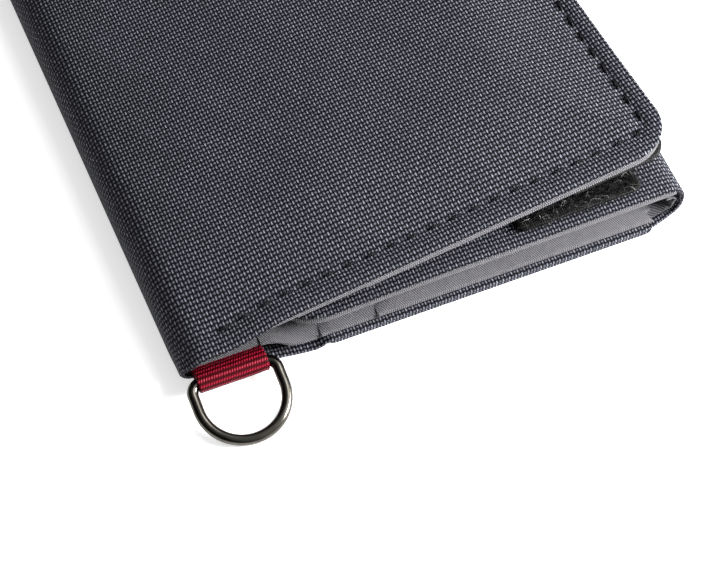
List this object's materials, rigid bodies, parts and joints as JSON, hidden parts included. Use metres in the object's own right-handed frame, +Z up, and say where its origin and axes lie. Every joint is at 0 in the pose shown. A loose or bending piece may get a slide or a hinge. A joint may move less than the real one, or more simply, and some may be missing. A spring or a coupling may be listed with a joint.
{
  "type": "tri-fold wallet",
  "caption": "Closed tri-fold fabric wallet with a hook-and-loop flap, inner card slots, and a metal D-ring on a red webbing tab for a tether.",
  "frame": {"origin": "centre of the closed wallet, on the flat underside of the back panel", "axes": "+Z up through the closed layers; +Y along the folds, away from the D-ring; +X from the flap's fold to the wing's fold"},
  "size_m": [0.0989, 0.1421, 0.0183],
  "materials": {
    "shell_fabric": "heavy plain-weave nylon, dark navy",
    "lining_fabric": "fine grey twill lining",
    "shield_film": "metallised signal-blocking film between the layers",
    "padding_foam": "thin foam padding",
    "hook_tape": "woven black tape with nylon hooks",
    "loop_tape": "fuzzy black loop pile",
    "red_webbing": "ribbed red grosgrain webbing",
    "gunmetal_wire": "dark gunmetal plated wire"
  },
  "bodies": {
    "centre": {"centre_back_panel": "shell_fabric", "centre_shell": "shell_fabric", "centre_shield": "shield_film", "centre_lining": "lining_fabric", "centre_card_slot_1": "lining_fabric", "centre_card_slot_2": "lining_fabric", "centre_card_slot_3": "lining_fabric", "d_ring_tab": "red_webbing"},
    "left_spine": {"left_spine_shell": "shell_fabric", "left_spine_lining": "lining_fabric"},
    "flap": {"flap_shell": "shell_fabric", "flap_padding": "padding_foam", "flap_lining": "lining_fabric", "flap_card_slot_1": "lining_fabric", "flap_card_slot_2": "lining_fabric", "hook_tape": "hook_tape"},
    "right_spine": {"right_spine_shell": "shell_fabric", "right_spine_lining": "lining_fabric"},
    "wing": {"wing_shell": "shell_fabric", "wing_shield": "shield_film", "wing_lining": "lining_fabric", "wing_card_slot": "lining_fabric", "loop_tape": "loop_tape"},
    "ring": {"d_ring": "gunmetal_wire"}
  },
  "joints": [
    {"name": "left_lower_crease", "type": "hinge", "parent": "centre", "child": "left_spine", "pos_m": [-0.0466, -0.0625, 0.0009], "axis": [0.0314, -0.9995, 0], "range_deg": [0, 90]},
    {"name": "left_upper_crease", "type": "hinge", "parent": "left_spine", "child": "flap", "pos_m": [-0.0466, -0.0625, 0.0104], "axis": [0.0314, -0.9995, 0], "range_deg": [0, 86]},
    {"name": "right_lower_crease", "type": "hinge", "parent": "centre", "child": "right_spine", "pos_m": [0.0466, 0, 0.0021], "axis": [0, 1, 0], "range_deg": [0, 29]},
    {"name": "right_upper_crease", "type": "hinge", "parent": "right_spine", "child": "wing", "pos_m": [0.0466, 0, 0.00965], "axis": [0, 1, 0], "range_deg": [0, 29]},
    {"name": "d_ring_swivel", "type": "hinge", "parent": "centre", "child": "ring", "pos_m": [-0.0389, -0.0631, 0.0032], "axis": [-1, 0, 0], "range_deg": [-60, 80]}
  ],
  "couplings": [
    {"joint": "left_upper_crease", "follows": "left_lower_crease", "ratio": 0.95},
    {"joint": "right_lower_crease", "follows": "left_lower_crease", "ratio": 0.32},
    {"joint": "right_upper_crease", "follows": "left_lower_crease", "ratio": 0.32}
  ]
}
